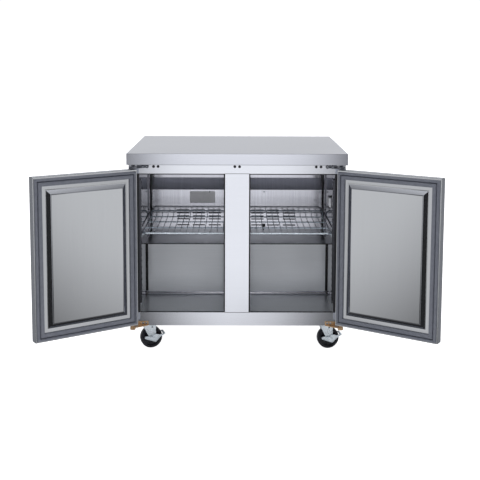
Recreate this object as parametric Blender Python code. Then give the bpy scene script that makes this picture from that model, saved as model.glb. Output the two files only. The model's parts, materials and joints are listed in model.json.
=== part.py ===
"""Undercounter refrigerator with two hinged doors, two wire shelves and four swivel casters.

Metres, +Z up, +X to the right of a person facing the doors, +Y to the back. Every solid is first
drawn in the cabinet's own coordinates (y = 0 on the face frame, z = 0 on the floor) with its doors
closed. One empty then moves the whole cabinet so that the object stands centred on the origin, and
the empties on the hinge pins, kingpins and axles turn the moving pieces to their rest pose.
"""
import math

import bmesh
import bpy
from mathutils import Matrix, Vector

for leftover in list(bpy.data.objects):
    bpy.data.objects.remove(leftover, do_unlink=True)

# ---------------------------------------------------------------- driving dimensions
WIDTH = 0.922                 # across the worktop
DEPTH = 0.745                 # worktop, front to back
HEIGHT = 0.877                # floor to worktop
TOP_THICKNESS = 0.048
FRONT_OVERHANG = 0.062        # worktop beyond the face frame
CABINET_BOTTOM = 0.125
CABINET_DEPTH = 0.675
HALF_CABINET = 0.459
SHEET = 0.0015                # outer sheet metal
SKIN = 0.0012                 # liner and door sheet metal
GAP = 0.0003                  # between faces that touch

OPENING_LOW = 0.1825
OPENING_HIGH = 0.7845
HALF_LINER = 0.414            # inside width of the storage space, halved
FLOOR_TOP = 0.1815
CEILING = 0.7863
LINER_BACK = 0.6293
BULKHEAD_FACE = 0.292
BULKHEAD_TOP = 0.420
WALL = 0.042                  # foam in the bulkhead that separates the machinery
HALF_MULLION = 0.0515
MULLION_DEPTH = 0.022

COVER_FACE = 0.475            # evaporator cover, lower face
COVER_TOP_FACE = 0.535        # evaporator cover, upper flange
COVER_FOLD_LOW = 0.640
COVER_FOLD_HIGH = 0.690
HALF_COVER = 0.4065
SLOT_LENGTH = 0.059
SLOT_HEIGHT = 0.0055
SLOT_ROWS = 7
SLOT_PITCH = 0.0145
SLOT_LOWEST = 0.452
SLOT_COLUMNS = (-0.257, -0.182, -0.106, 0.0985, 0.173, 0.250)

SHELF_Z = 0.522
SHELF_FRONT = 0.027
SHELF_BACK = 0.423
SHELF_OUTER = 0.408
SHELF_INNER = 0.004
SHELF_UPTURN = 0.030
WIRE = 0.0036
RAIL_WIRE = 0.0056
WIRE_PITCH = 0.0262

DOOR_OUTER_EDGE = 0.459
DOOR_INNER_EDGE = 0.0055
DOOR_LOW = 0.1392
DOOR_HIGH = 0.8068
DOOR_FACE = -0.050
DOOR_BACK = -0.012
DOOR_OPEN = math.radians(147.3)
HINGE_X = 0.443
HINGE_Y = -0.032
PIN_RADIUS = 0.004
GASKET_INSET = 0.0065
GASKET_WIDTH = 0.031
GASKET_FACE = -0.0015
PLUG_BORDER = 0.016           # flat border of the door liner between gasket and raised centre
PLUG_BEVEL = 0.019
PLUG_RISE = 0.012
GRIP_HALF_WIDTH = 0.150       # finger recess in the front of the door
GRIP_BELOW_TOP = 0.020
GRIP_HEIGHT = 0.050
GRIP_DEPTH = 0.024
LEAF_NEAR = 0.379             # hinge leaves on the rails
LEAF_FAR = 0.423
LEAF_FACE = -0.0030
HINGE_PLATE = 0.0030          # thickness of the hinge arms

CASTER_X = 0.389
CASTER_FRONT_Y = 0.082
CASTER_REAR_Y = 0.590
CASTER_TURNS = {"front_left": 18.0, "front_right": 9.0, "rear_left": 12.0, "rear_right": 15.0}
TRAIL = 0.0125
WHEEL_RADIUS = 0.048
WHEEL_HALF_WIDTH = 0.0150
AXLE_RADIUS = 0.005
CASTER_PLATE_LOW = 0.1210
CASTER_PLATE_HIGH = 0.1247
LEG_INNER = 0.0175            # fork legs, from the middle plane of the wheel
LEG_OUTER = 0.0205
BASE_PAN_TOP = 0.1265
INLET_LENGTH = 0.012          # cord inlet bushing, proud of the back
TRAY_TOP = 0.1293             # tray under the condensing unit, in the machinery space
GRILLE_LOW = 0.1272
REAR_SPLIT = 0.3795           # between the grille and the back panel above it
EVAPORATOR_FAN = (0.0, 0.496, 0.530)
CONDENSER_FAN = (0.200, 0.500, 0.245)
COMPRESSOR = (-0.250, 0.500)
INLET = (0.015, CABINET_DEPTH, 0.240)
SWITCH_PIVOT = (-0.039, 0.6705, 0.270)

TOP_LOW = HEIGHT - TOP_THICKNESS
SIDES = ((-1, "left"), (1, "right"))


# ---------------------------------------------------------------- materials
def finish(name, colour, roughness, metallic=0.0):
    """A Principled material with one colour, roughness and metallic value."""
    material = bpy.data.materials.new(name)
    material.use_nodes = True
    shader = material.node_tree.nodes["Principled BSDF"]
    shader.inputs["Base Color"].default_value = (*colour, 1.0)
    shader.inputs["Roughness"].default_value = roughness
    shader.inputs["Metallic"].default_value = metallic
    material.diffuse_color = (*colour, 1.0)
    return material


BRUSHED = finish("brushed_stainless", (0.62, 0.64, 0.68), 0.32, 1.0)
MIRROR = finish("polished_stainless", (0.55, 0.57, 0.60), 0.12, 1.0)
GALVANISED = finish("galvanised_sheet", (0.50, 0.52, 0.54), 0.45, 1.0)
ZINC = finish("zinc_plate", (0.72, 0.76, 0.80), 0.28, 1.0)
ALUMINIUM = finish("embossed_aluminium", (0.43, 0.45, 0.47), 0.50, 0.6)
WIRE_COAT = finish("coated_wire", (0.42, 0.48, 0.55), 0.35, 0.3)
FOAM = finish("insulation_foam", (0.80, 0.72, 0.45), 0.95)
RUBBER = finish("gasket_rubber", (0.10, 0.105, 0.12), 0.60)
BLACK = finish("black_plastic", (0.012, 0.012, 0.015), 0.40)
PAINT = finish("black_paint", (0.02, 0.02, 0.022), 0.35)
FIN_METAL = finish("fin_pack", (0.60, 0.62, 0.63), 0.40, 1.0)


# ---------------------------------------------------------------- solid builders
def solid(name, bm, material):
    """Close a bmesh into a named object with outward faces."""
    bmesh.ops.recalc_face_normals(bm, faces=bm.faces)
    mesh = bpy.data.meshes.new(name)
    bm.to_mesh(mesh)
    bm.free()
    mesh.materials.append(material)
    obj = bpy.data.objects.new(name, mesh)
    bpy.context.scene.collection.objects.link(obj)
    return obj


def add_box(bm, low, high):
    """Add one axis-aligned block between two corners, in any order."""
    low, high = zip(*(sorted(pair) for pair in zip(low, high)))
    size = [b - a for a, b in zip(low, high)]
    middle = [(a + b) / 2 for a, b in zip(low, high)]
    matrix = Matrix.Translation(middle) @ Matrix.Diagonal((*size, 1.0))
    bmesh.ops.create_cube(bm, size=1.0, matrix=matrix)


def box(name, low, high, material):
    """One axis-aligned block."""
    bm = bmesh.new()
    add_box(bm, low, high)
    return solid(name, bm, material)


def prism(name, outline, start, end, material, along="x"):
    """Extrude a closed outline. The outline is (y, z) along x, (x, z) along y, (x, y) along z."""
    corner = {
        "x": lambda a, b: (start, a, b),
        "y": lambda a, b: (a, start, b),
        "z": lambda a, b: (a, b, start),
    }[along]
    step = {"x": (end - start, 0, 0), "y": (0, end - start, 0), "z": (0, 0, end - start)}[along]
    bm = bmesh.new()
    face = bm.faces.new([bm.verts.new(corner(a, b)) for a, b in outline])
    extruded = bmesh.ops.extrude_face_region(bm, geom=[face])
    moved = [g for g in extruded["geom"] if isinstance(g, bmesh.types.BMVert)]
    bmesh.ops.translate(bm, vec=step, verts=moved)
    return solid(name, bm, material)


def lathe(name, profile, centre, material, axis="z", segments=32):
    """Spin a closed (radius, height) profile about the z or y axis through the centre."""
    bm = bmesh.new()
    verts = [bm.verts.new((radius, 0.0, height)) for radius, height in profile]
    edges = [bm.edges.new((verts[i], verts[(i + 1) % len(verts)])) for i in range(len(verts))]
    bmesh.ops.spin(bm, geom=verts + edges, cent=(0, 0, 0), axis=(0, 0, 1),
                   angle=2 * math.pi, steps=segments, use_merge=True)
    bmesh.ops.remove_doubles(bm, verts=bm.verts, dist=1e-6)
    turn = {"z": Matrix(), "y": Matrix.Rotation(-math.pi / 2, 4, "X")}[axis]
    bmesh.ops.transform(bm, matrix=Matrix.Translation(centre) @ turn, verts=bm.verts)
    return solid(name, bm, material)


def disc(name, radius, start, end, centre, material, axis="z", segments=24):
    """A plain round bar from start to end along its axis, measured from the centre."""
    profile = [(0.0, start), (radius, start), (radius, end), (0.0, end)]
    return lathe(name, profile, centre, material, axis, segments)


def combine(target, tool, operation):
    """Join the tool to the target, or cut it away, and drop the tool."""
    modifier = target.modifiers.new(operation, "BOOLEAN")
    modifier.operation = operation
    modifier.object = tool
    bpy.context.view_layer.update()
    evaluated = target.evaluated_get(bpy.context.evaluated_depsgraph_get())
    mesh = bpy.data.meshes.new_from_object(evaluated)
    target.modifiers.clear()
    target.data = mesh
    bpy.data.objects.remove(tool, do_unlink=True)
    return target


def join(target, *tools):
    for tool in tools:
        combine(target, tool, "UNION")
    return target


def cut(target, *tools):
    for tool in tools:
        combine(target, tool, "DIFFERENCE")
    return target


def pierce(target, blocks):
    """Cut a set of separate blocks, given as pairs of corners, out of the target."""
    bm = bmesh.new()
    for low, high in blocks:
        add_box(bm, low, high)
    return cut(target, solid("piercing", bm, GALVANISED))


def frame_ring(name, section, low, high, material):
    """Sweep an (inset, y) section around the rectangle low-high in x and z, with mitred corners."""
    bm = bmesh.new()
    rings = []
    for inset, y in section:
        x0, x1 = low[0] + inset, high[0] - inset
        z0, z1 = low[1] + inset, high[1] - inset
        rings.append([bm.verts.new(p) for p in ((x0, y, z0), (x1, y, z0), (x1, y, z1), (x0, y, z1))])
    for one, two in zip(rings, rings[1:] + rings[:1]):
        for i in range(4):
            j = (i + 1) % 4
            bm.faces.new((one[i], one[j], two[j], two[i]))
    return solid(name, bm, material)


def rounded(obj, width, segments=2):
    """Soften every sharp edge of a plain solid."""
    bevel = obj.modifiers.new("edges", "BEVEL")
    bevel.width = width
    bevel.segments = segments
    bevel.limit_method = "ANGLE"
    return obj


def smooth(obj, degrees=35):
    obj.data.shade_smooth()
    obj.data.set_sharp_from_angle(angle=math.radians(degrees))
    return obj


# ---------------------------------------------------------------- holders
def holder(name, place, parent=None, turn=0.0):
    """An empty at a pivot, turned about +Z, that its moving pieces hang on."""
    empty = bpy.data.objects.new(name, None)
    bpy.context.scene.collection.objects.link(empty)
    empty.location = place
    empty.rotation_euler = (0.0, 0.0, turn)
    empty.parent = parent
    return empty


def hang(obj, parent, pivot=(0.0, 0.0, 0.0)):
    """Put the object's origin on the pivot, in the coordinates it was drawn in, and parent it."""
    obj.data.transform(Matrix.Translation(-Vector(pivot)))
    obj.parent = parent
    return obj


def swung(x, y, angle):
    """A point turned about the origin in plan."""
    return (x * math.cos(angle) - y * math.sin(angle), x * math.sin(angle) + y * math.cos(angle))


# The doors stand open at rest, so their free corners set the front of the whole object.
free_edge = HINGE_X - DOOR_INNER_EDGE
door_corners = [
    swung(free_edge - inset, y - HINGE_Y, -DOOR_OPEN)[1] + HINGE_Y
    for inset, y in ((0.0, DOOR_FACE), (0.0, DOOR_BACK), (GASKET_INSET + 0.003, GASKET_FACE))
]
WORKTOP_BACK = DEPTH - FRONT_OVERHANG
REARMOST = CABINET_DEPTH + INLET_LENGTH
SHIFT = -(min(door_corners) + REARMOST) / 2

CABINET = holder("cabinet_origin", (0.0, SHIFT, 0.0))


# ---------------------------------------------------------------- cabinet shell
def make_worktop():
    """Folded tray, open below, over a stiff core."""
    half = WIDTH / 2
    low = (-half, -FRONT_OVERHANG, TOP_LOW)
    high = (half, WORKTOP_BACK, HEIGHT)
    skin = rounded(box("worktop", low, high, BRUSHED), 0.0015)
    hollow_low = (low[0] + SHEET, low[1] + SHEET, TOP_LOW - 0.01)
    hollow_high = (high[0] - SHEET, high[1] - SHEET, HEIGHT - SHEET)
    pierce(skin, [(hollow_low, hollow_high)])
    core_low = (hollow_low[0] + GAP, hollow_low[1] + GAP, TOP_LOW + GAP)
    core_high = [value - GAP for value in hollow_high]
    core = box("worktop_core", core_low, core_high, FOAM)
    hang(skin, CABINET)
    hang(core, CABINET)


def make_side_panel(side, word):
    """Outer side sheet with the front stile folded from it."""
    x_out = side * HALF_CABINET
    x_in = side * (HALF_CABINET - SHEET)
    low = (x_in, SHEET + GAP, CABINET_BOTTOM)
    panel = box(f"side_panel_{word}", low, (x_out, CABINET_DEPTH, TOP_LOW - GAP), BRUSHED)
    stile_low = OPENING_LOW + GAP
    stile_high = OPENING_HIGH - GAP
    x_stile = side * (HALF_LINER + SKIN + GAP)
    fold = box("fold", (x_in, 0.0, stile_low), (x_out, 0.003, stile_high), BRUSHED)
    stile = box("stile", (x_stile, 0.0, stile_low), (x_out, SHEET, stile_high), BRUSHED)
    hang(join(panel, fold, stile), CABINET)


def make_face_frame():
    """Top and bottom rails and the hollow centre mullion between them."""
    rails = (
        ("top_rail", OPENING_HIGH, TOP_LOW - GAP),
        ("bottom_rail", CABINET_BOTTOM, OPENING_LOW),
    )
    for name, low, high in rails:
        hang(box(name, (-HALF_CABINET, 0.0, low), (HALF_CABINET, SHEET, high), BRUSHED), CABINET)
    half = HALF_MULLION
    channel = [
        (-half, MULLION_DEPTH), (-half, 0.0), (half, 0.0), (half, MULLION_DEPTH),
        (half - SHEET, MULLION_DEPTH), (half - SHEET, SHEET), (SHEET - half, SHEET),
        (SHEET - half, MULLION_DEPTH),
    ]
    mullion = prism("center_mullion", channel, OPENING_LOW + GAP, OPENING_HIGH - GAP, BRUSHED, along="z")
    hang(mullion, CABINET)


def make_outer_sheets():
    """Back sheet and base pan."""
    half = HALF_CABINET - SHEET - GAP
    inner_back = CABINET_DEPTH - SHEET
    rear_low = (-half, inner_back, REAR_SPLIT + GAP)
    rear = box("rear_panel", rear_low, (half, CABINET_DEPTH, TOP_LOW - GAP), GALVANISED)
    base_low = (-half, SHEET + GAP, CABINET_BOTTOM)
    base = box("base_pan", base_low, (half, inner_back - GAP, BASE_PAN_TOP), GALVANISED)
    hang(rear, CABINET)
    hang(base, CABINET)


def make_insulation():
    """Foamed body: the outer block less the storage space and the machinery space."""
    half = HALF_CABINET - SHEET - GAP
    back = CABINET_DEPTH - SHEET - GAP
    body = box("insulation", (-half, 0.0018, BASE_PAN_TOP + GAP), (half, back, TOP_LOW - GAP), FOAM)
    skin = SKIN + GAP
    storage = [
        (-0.1, FLOOR_TOP - skin), (BULKHEAD_FACE + skin, FLOOR_TOP - skin),
        (BULKHEAD_FACE + skin, BULKHEAD_TOP - skin), (LINER_BACK + skin, BULKHEAD_TOP - skin),
        (LINER_BACK + skin, CEILING + skin), (-0.1, CEILING + skin),
    ]
    reach = HALF_LINER + skin
    cut(body, prism("storage", storage, -reach, reach, FOAM))
    pierce(body, [((-1.0, BULKHEAD_FACE + WALL, 0.0), (1.0, 1.0, 0.3777))])
    hang(body, CABINET)


# ---------------------------------------------------------------- liner
def make_liner():
    """Flat liner sheets and the folded bulkhead over the machinery."""
    outline = [
        (0.0025, FLOOR_TOP + GAP), (BULKHEAD_FACE + SKIN, FLOOR_TOP + GAP),
        (BULKHEAD_FACE + SKIN, BULKHEAD_TOP - SKIN), (LINER_BACK + SKIN, BULKHEAD_TOP - SKIN),
        (LINER_BACK + SKIN, CEILING - GAP), (0.0025, CEILING - GAP),
    ]
    for side, word in SIDES:
        inner = side * HALF_LINER
        outer = side * (HALF_LINER + SKIN)
        hang(prism(f"liner_{word}", outline, inner, outer, MIRROR), CABINET)
    half = HALF_LINER - GAP
    sheets = (
        ("liner_floor", (0.0025, FLOOR_TOP - SKIN), (BULKHEAD_FACE - GAP, FLOOR_TOP)),
        ("liner_ceiling", (0.0025, CEILING), (LINER_BACK - GAP, CEILING + SKIN)),
        ("liner_back", (LINER_BACK, BULKHEAD_TOP + GAP), (LINER_BACK + SKIN, CEILING - GAP)),
    )
    for name, (y0, z0), (y1, z1) in sheets:
        hang(box(name, (-half, y0, z0), (half, y1, z1), ALUMINIUM), CABINET)
    fold = [
        (BULKHEAD_FACE, FLOOR_TOP + GAP), (BULKHEAD_FACE + SKIN, FLOOR_TOP + GAP),
        (BULKHEAD_FACE + SKIN, BULKHEAD_TOP - SKIN), (LINER_BACK - GAP, BULKHEAD_TOP - SKIN),
        (LINER_BACK - GAP, BULKHEAD_TOP), (BULKHEAD_FACE, BULKHEAD_TOP),
    ]
    hang(prism("compressor_bulkhead", fold, -half, half, ALUMINIUM), CABINET)


def make_standard(side, word, y, z_low):
    """Slotted shelf standard on a side wall: a shallow channel, open to the wall."""
    depth = 0.0045
    width = 0.024
    z_high = 0.755
    x_wall = side * (HALF_LINER - GAP)
    x_face = side * (HALF_LINER - GAP - depth)
    bar = box(f"shelf_standard_{word}", (x_wall, y, z_low), (x_face, y + width, z_high), MIRROR)
    hollow_low = (x_wall + side * 0.01, y + 0.002, z_low - 0.01)
    hollow_high = (x_face + side * 0.001, y + width - 0.002, z_high + 0.01)
    pierce(bar, [(hollow_low, hollow_high)])
    pitch = 0.0265
    slot_height = 0.010
    margin = 0.018
    slots = []
    for i in range(int((z_high - z_low - 2 * margin) / pitch) + 1):
        z = z_low + margin + i * pitch
        low = (x_face - side * 0.003, y + 0.008, z)
        high = (x_face + side * 0.002, y + width - 0.008, z + slot_height)
        slots.append((low, high))
    pierce(bar, slots)
    hang(bar, CABINET)


# ---------------------------------------------------------------- refrigeration
def fin_pack(name, low, high, fins, material):
    """Tube-and-fin coil: fins stand on both sides of a core slab."""
    x0, y0, z0 = low
    x1, y1, z1 = high
    pitch = (x1 - x0) / fins
    core = (y1 - y0) * 0.3
    middle = (y0 + y1) / 2
    front, back = [], []
    for i in range(fins):
        left = x0 + i * pitch
        right = left + pitch * 0.5
        front += [(left, middle - core), (left, y0), (right, y0), (right, middle - core)]
        back += [(left, middle + core), (left, y1), (right, y1), (right, middle + core)]
    outline = front + list(reversed(back))
    return prism(name, outline, z0, z1, material, along="z")


def fan_blades(name, centre, radius, blades, material, hub=0.020, depth=0.022):
    """Axial fan: a hub with twisted blades, spinning about Y, and a bore for the motor shaft."""
    wheel = lathe(name, [(0.0032, -depth / 2), (hub, -depth / 2), (hub, depth / 2), (0.0032, depth / 2)],
                  (0, 0, 0), material, axis="y", segments=24)
    thickness = 0.0016
    sections = ((hub - 0.004, 0.75, 0.020), (radius * 0.6, 0.55, 0.034), (radius, 0.42, 0.044))
    for i in range(blades):
        bm = bmesh.new()
        rows = []
        for r, pitch, chord in sections:
            row = []
            for u, v in ((-0.5, -0.5), (0.5, -0.5), (0.5, 0.5), (-0.5, 0.5)):
                across = u * chord
                thick = v * thickness
                x = across * math.cos(pitch) - thick * math.sin(pitch)
                y = across * math.sin(pitch) + thick * math.cos(pitch)
                row.append(bm.verts.new((x, y, r)))
            rows.append(row)
        for one, two in zip(rows, rows[1:]):
            for k in range(4):
                bm.faces.new((one[k], one[(k + 1) % 4], two[(k + 1) % 4], two[k]))
        bm.faces.new(rows[0])
        bm.faces.new(rows[-1])
        turn = Matrix.Rotation(2 * math.pi * i / blades, 3, "Y")
        bmesh.ops.rotate(bm, cent=(0, 0, 0), matrix=turn, verts=bm.verts)
        join(wheel, solid("blade", bm, material))
    wheel.data.transform(Matrix.Translation(centre))
    return wheel


def make_evaporator():
    """Cover with its air slots, the coil behind it, and the fan with its motor."""
    z_low = BULKHEAD_TOP + GAP
    z_high = CEILING - GAP
    fold = SKIN / 2
    sheet = [
        (COVER_FACE, z_low), (COVER_FACE, COVER_FOLD_LOW), (COVER_TOP_FACE, COVER_FOLD_HIGH),
        (COVER_TOP_FACE, z_high), (COVER_TOP_FACE + SKIN, z_high),
        (COVER_TOP_FACE + SKIN, COVER_FOLD_HIGH - fold), (COVER_FACE + SKIN, COVER_FOLD_LOW - fold),
        (COVER_FACE + SKIN, z_low),
    ]
    cover = prism("evaporator_cover", sheet, -HALF_COVER, HALF_COVER, MIRROR)
    slots = []
    for x in SLOT_COLUMNS:
        for row in range(SLOT_ROWS):
            z = SLOT_LOWEST + row * SLOT_PITCH
            low = (x - SLOT_LENGTH / 2, COVER_FACE - 0.01, z)
            slots.append((low, (x + SLOT_LENGTH / 2, COVER_FACE + 0.01, z + SLOT_HEIGHT)))
    pierce(cover, slots)
    hang(cover, CABINET)

    coil = fin_pack("evaporator_coil", (-0.30, 0.572, z_low), (0.30, 0.618, 0.600), 24, FIN_METAL)
    hang(coil, CABINET)

    fan_x, fan_y, fan_z = EVAPORATOR_FAN
    motor = disc("evaporator_motor", 0.028, 0.016, 0.046, EVAPORATOR_FAN, BLACK, axis="y")
    shaft = disc("shaft", 0.0026, -0.012, 0.020, EVAPORATOR_FAN, BLACK, axis="y", segments=16)
    post_low = (fan_x - 0.010, fan_y + 0.041, z_low + 0.001)
    post = box("post", post_low, (fan_x + 0.010, fan_y + 0.044, fan_z - 0.007), BLACK)
    foot_low = (fan_x - 0.040, fan_y + 0.020, z_low)
    foot = box("foot", foot_low, (fan_x + 0.040, fan_y + 0.060, z_low + 0.003), BLACK)
    hang(join(motor, shaft, post, foot), CABINET)
    spindle = holder("evaporator_fan_axis", EVAPORATOR_FAN, CABINET)
    hang(fan_blades("evaporator_fan", EVAPORATOR_FAN, 0.062, 5, BLACK), spindle, EVAPORATOR_FAN)


def make_condensing_unit():
    """Tray, hermetic compressor, condenser coil and its fan, in the rear machinery space."""
    tray = box("condensing_tray", (-0.42, 0.350, BASE_PAN_TOP + GAP), (0.42, 0.668, TRAY_TOP), GALVANISED)
    hang(tray, CABINET)
    floor = TRAY_TOP + GAP

    can = [(0.0, 0.012), (0.060, 0.012), (0.072, 0.022), (0.075, 0.045), (0.075, 0.105), (0.070, 0.130),
           (0.054, 0.150), (0.028, 0.160), (0.0, 0.163)]
    place = (*COMPRESSOR, floor)
    compressor = lathe("compressor", can, place, PAINT, segments=28)
    feet = box("feet", (-0.345, 0.435, floor), (-0.155, 0.565, floor + 0.0037), PAINT)
    saddle = disc("saddle", 0.050, 0.002, 0.020, place, PAINT)
    terminals = box("terminals", (-0.180, 0.470, 0.180), (-0.160, 0.530, 0.245), PAINT)
    stub = disc("stub", 0.0048, 0.0, 0.060, (-0.250, 0.445, 0.250), PAINT, axis="z", segments=12)
    hang(join(compressor, feet, saddle, terminals, stub), CABINET)

    coil = fin_pack("condenser_coil", (0.060, 0.395, floor), (0.340, 0.445, 0.3500), 18, FIN_METAL)
    hang(coil, CABINET)

    motor = disc("condenser_motor", 0.034, 0.020, 0.070, CONDENSER_FAN, BLACK, axis="y")
    shaft = disc("shaft", 0.0026, -0.014, 0.024, CONDENSER_FAN, BLACK, axis="y", segments=16)
    post = box("post", (0.188, 0.548, floor), (0.212, 0.560, 0.235), BLACK)
    foot = box("foot", (0.150, 0.535, floor), (0.250, 0.575, floor + 0.0032), BLACK)
    hang(join(motor, shaft, post, foot), CABINET)
    spindle = holder("condenser_fan_axis", CONDENSER_FAN, CABINET)
    blades = fan_blades("condenser_fan", CONDENSER_FAN, 0.098, 5, GALVANISED, hub=0.024, depth=0.024)
    hang(blades, spindle, CONDENSER_FAN)


def make_rear_service():
    """Grille over the machinery space, and the control box with its switch and cord inlet."""
    half = HALF_CABINET - SHEET - GAP
    grille_low = (-half, CABINET_DEPTH - SHEET, GRILLE_LOW)
    grille = box("rear_grille", grille_low, (half, CABINET_DEPTH, REAR_SPLIT - GAP), GALVANISED)
    slots = []
    for bank in (-0.27, 0.24):
        for row in range(9):
            z = 0.160 + row * 0.022
            slots.append(((bank - 0.12, 0.66, z), (bank + 0.12, 0.69, z + 0.009)))
    pierce(grille, slots)
    window = ((-0.080, 0.66, 0.205), (0.060, 0.69, 0.305))
    pierce(grille, [window])
    hang(grille, CABINET)

    control = box("control_box", (-0.075, 0.610, 0.210), (0.055, CABINET_DEPTH, 0.300), BLACK)
    stand = box("stand", (-0.040, 0.615, TRAY_TOP + GAP), (0.020, 0.640, 0.215), BLACK)
    rocker_bay = ((-0.0565, 0.660, 0.2585), (-0.0215, 0.700, 0.2815))
    pierce(control, [rocker_bay])
    bushing = [(0.0045, -0.010), (0.0110, -0.010), (0.0110, INLET_LENGTH / 2), (0.0085, INLET_LENGTH),
               (0.0045, INLET_LENGTH)]
    inlet = lathe("inlet", bushing, INLET, BLACK, axis="y", segments=20)
    cut(control, disc("inlet_bore", 0.0108, -0.020, 0.020, INLET, BLACK, axis="y", segments=20))
    hang(join(control, stand, inlet), CABINET)

    rocker_outline = [(0.6650, 0.2600), (0.6705, 0.2625), (0.6790, 0.2605), (0.6745, 0.2700),
                      (0.6735, 0.2795), (0.6705, 0.2775), (0.6650, 0.2795)]
    rocker = prism("power_switch", rocker_outline, -0.0555, -0.0225, BLACK)
    axis = holder("power_switch_axis", SWITCH_PIVOT, CABINET)
    hang(rocker, axis, SWITCH_PIVOT)


# ---------------------------------------------------------------- shelves
def make_shelf(side, word):
    """Wire shelf: a flat grid of wires with a turned-up rear edge."""
    x0, x1 = sorted((side * SHELF_OUTER, side * SHELF_INNER))
    low = SHELF_Z - WIRE / 2
    high = SHELF_Z + WIRE / 2
    grid = box(f"shelf_{word}", (x0, SHELF_FRONT, low), (x1, SHELF_BACK, high), WIRE_COAT)
    columns = round((x1 - x0) / WIRE_PITCH)
    pitch = (x1 - x0 - RAIL_WIRE) / columns
    cross = [SHELF_FRONT + RAIL_WIRE + i * (SHELF_BACK - SHELF_FRONT - RAIL_WIRE) / 3 for i in range(4)]
    holes = []
    for i in range(columns):
        left = x0 + RAIL_WIRE / 2 + i * pitch + WIRE / 2
        right = left + pitch - WIRE
        if i == 0:
            left += (RAIL_WIRE - WIRE) / 2
        if i == columns - 1:
            right -= (RAIL_WIRE - WIRE) / 2
        for front, back in zip(cross, cross[1:]):
            holes.append(((left, front, low - 0.01), (right, back - RAIL_WIRE, high + 0.01)))
    pierce(grid, holes)
    upturn_top = SHELF_Z + SHELF_UPTURN
    upturn = box("upturn", (x0, SHELF_BACK - WIRE, low), (x1, SHELF_BACK, upturn_top), WIRE_COAT)
    windows = []
    for i in range(columns):
        left = x0 + RAIL_WIRE / 2 + i * pitch + WIRE / 2
        right = left + pitch - WIRE
        windows.append(((left, SHELF_BACK - 0.02, high), (right, SHELF_BACK + 0.02, upturn_top - WIRE)))
    pierce(upturn, windows)
    hang(join(grid, upturn), CABINET)


# ---------------------------------------------------------------- doors
def make_door(side, word):
    """Outer pan with a recessed grip, foam core, liner with a raised centre, and the gasket."""
    hinge = (side * HINGE_X, HINGE_Y, 0.0)
    swing = holder(f"door_{word}_hinge", hinge, CABINET, turn=side * DOOR_OPEN)
    x0, x1 = sorted((side * DOOR_OUTER_EDGE, side * DOOR_INNER_EDGE))
    middle = (x0 + x1) / 2

    pan = box(f"door_{word}_pan", (x0, DOOR_FACE, DOOR_LOW), (x1, DOOR_BACK, DOOR_HIGH), BRUSHED)
    rounded(pan, 0.0015)
    inner = ((x0 + SKIN, DOOR_FACE + SKIN, DOOR_LOW + SKIN), (x1 - SKIN, DOOR_BACK + 0.01, DOOR_HIGH - SKIN))
    cavity = box("cavity", *inner, FOAM)

    def grip(margin, front):
        """Finger recess: deep at the top, sloping out to the face at the bottom."""
        z_top = DOOR_HIGH - GRIP_BELOW_TOP
        z_low = z_top - GRIP_HEIGHT
        y_deep = DOOR_FACE + GRIP_DEPTH + margin
        lip = (DOOR_FACE - front) * 0.4
        outline = [(front, z_top + margin), (y_deep, z_top + margin), (y_deep, z_top - 0.020),
                   (front, z_low - margin - lip)]
        reach = GRIP_HALF_WIDTH + margin
        return prism("grip", outline, middle - reach, middle + reach, BRUSHED)

    cut(cavity, grip(SKIN, DOOR_FACE - 0.01))
    cut(pan, cavity, grip(0.0, DOOR_FACE - 0.01))
    bore_ends = ((DOOR_LOW - 0.01, DOOR_LOW + 0.02), (DOOR_HIGH - 0.02, DOOR_HIGH + 0.01))
    for start, end in bore_ends:
        cut(pan, disc("bore", PIN_RADIUS + 0.0005, start, end, hinge, BRUSHED, segments=20))

    core_low = [value + GAP for value in inner[0]]
    core_high = (inner[1][0] - GAP, DOOR_BACK - SKIN - GAP, inner[1][2] - GAP)
    core = box(f"door_{word}_core", core_low, core_high, FOAM)
    cut(core, grip(SKIN + GAP, DOOR_FACE - 0.01))
    for start, end in bore_ends:
        cut(core, disc("bore", PIN_RADIUS + 0.0010, start, end, hinge, FOAM, segments=20))

    inset = SKIN + GAP
    plug = GASKET_INSET + GASKET_WIDTH + PLUG_BORDER
    bm = bmesh.new()
    rings = []
    face = DOOR_BACK
    steps = ((inset, face - SKIN), (inset, face), (plug, face), (plug + PLUG_BEVEL, face + PLUG_RISE))
    for offset, y in steps:
        rings.append([bm.verts.new(p) for p in (
            (x0 + offset, y, DOOR_LOW + offset), (x1 - offset, y, DOOR_LOW + offset),
            (x1 - offset, y, DOOR_HIGH - offset), (x0 + offset, y, DOOR_HIGH - offset))])
    for one, two in zip(rings, rings[1:]):
        for i in range(4):
            j = (i + 1) % 4
            bm.faces.new((one[i], one[j], two[j], two[i]))
    bm.faces.new(rings[0])
    bm.faces.new(rings[-1])
    liner = solid(f"door_{word}_liner", bm, ALUMINIUM)

    seat = DOOR_BACK + GAP
    shoulder = GASKET_FACE - 0.004
    section = ((0.0, seat), (0.0, shoulder), (0.003, GASKET_FACE), (GASKET_WIDTH - 0.003, GASKET_FACE),
               (GASKET_WIDTH, shoulder), (GASKET_WIDTH, seat))
    ring_low = (x0 + GASKET_INSET, DOOR_LOW + GASKET_INSET)
    ring_high = (x1 - GASKET_INSET, DOOR_HIGH - GASKET_INSET)
    gasket = frame_ring(f"door_{word}_gasket", section, ring_low, ring_high, RUBBER)
    for piece in (pan, core, liner, gasket):
        hang(piece, swing, hinge)


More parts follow.
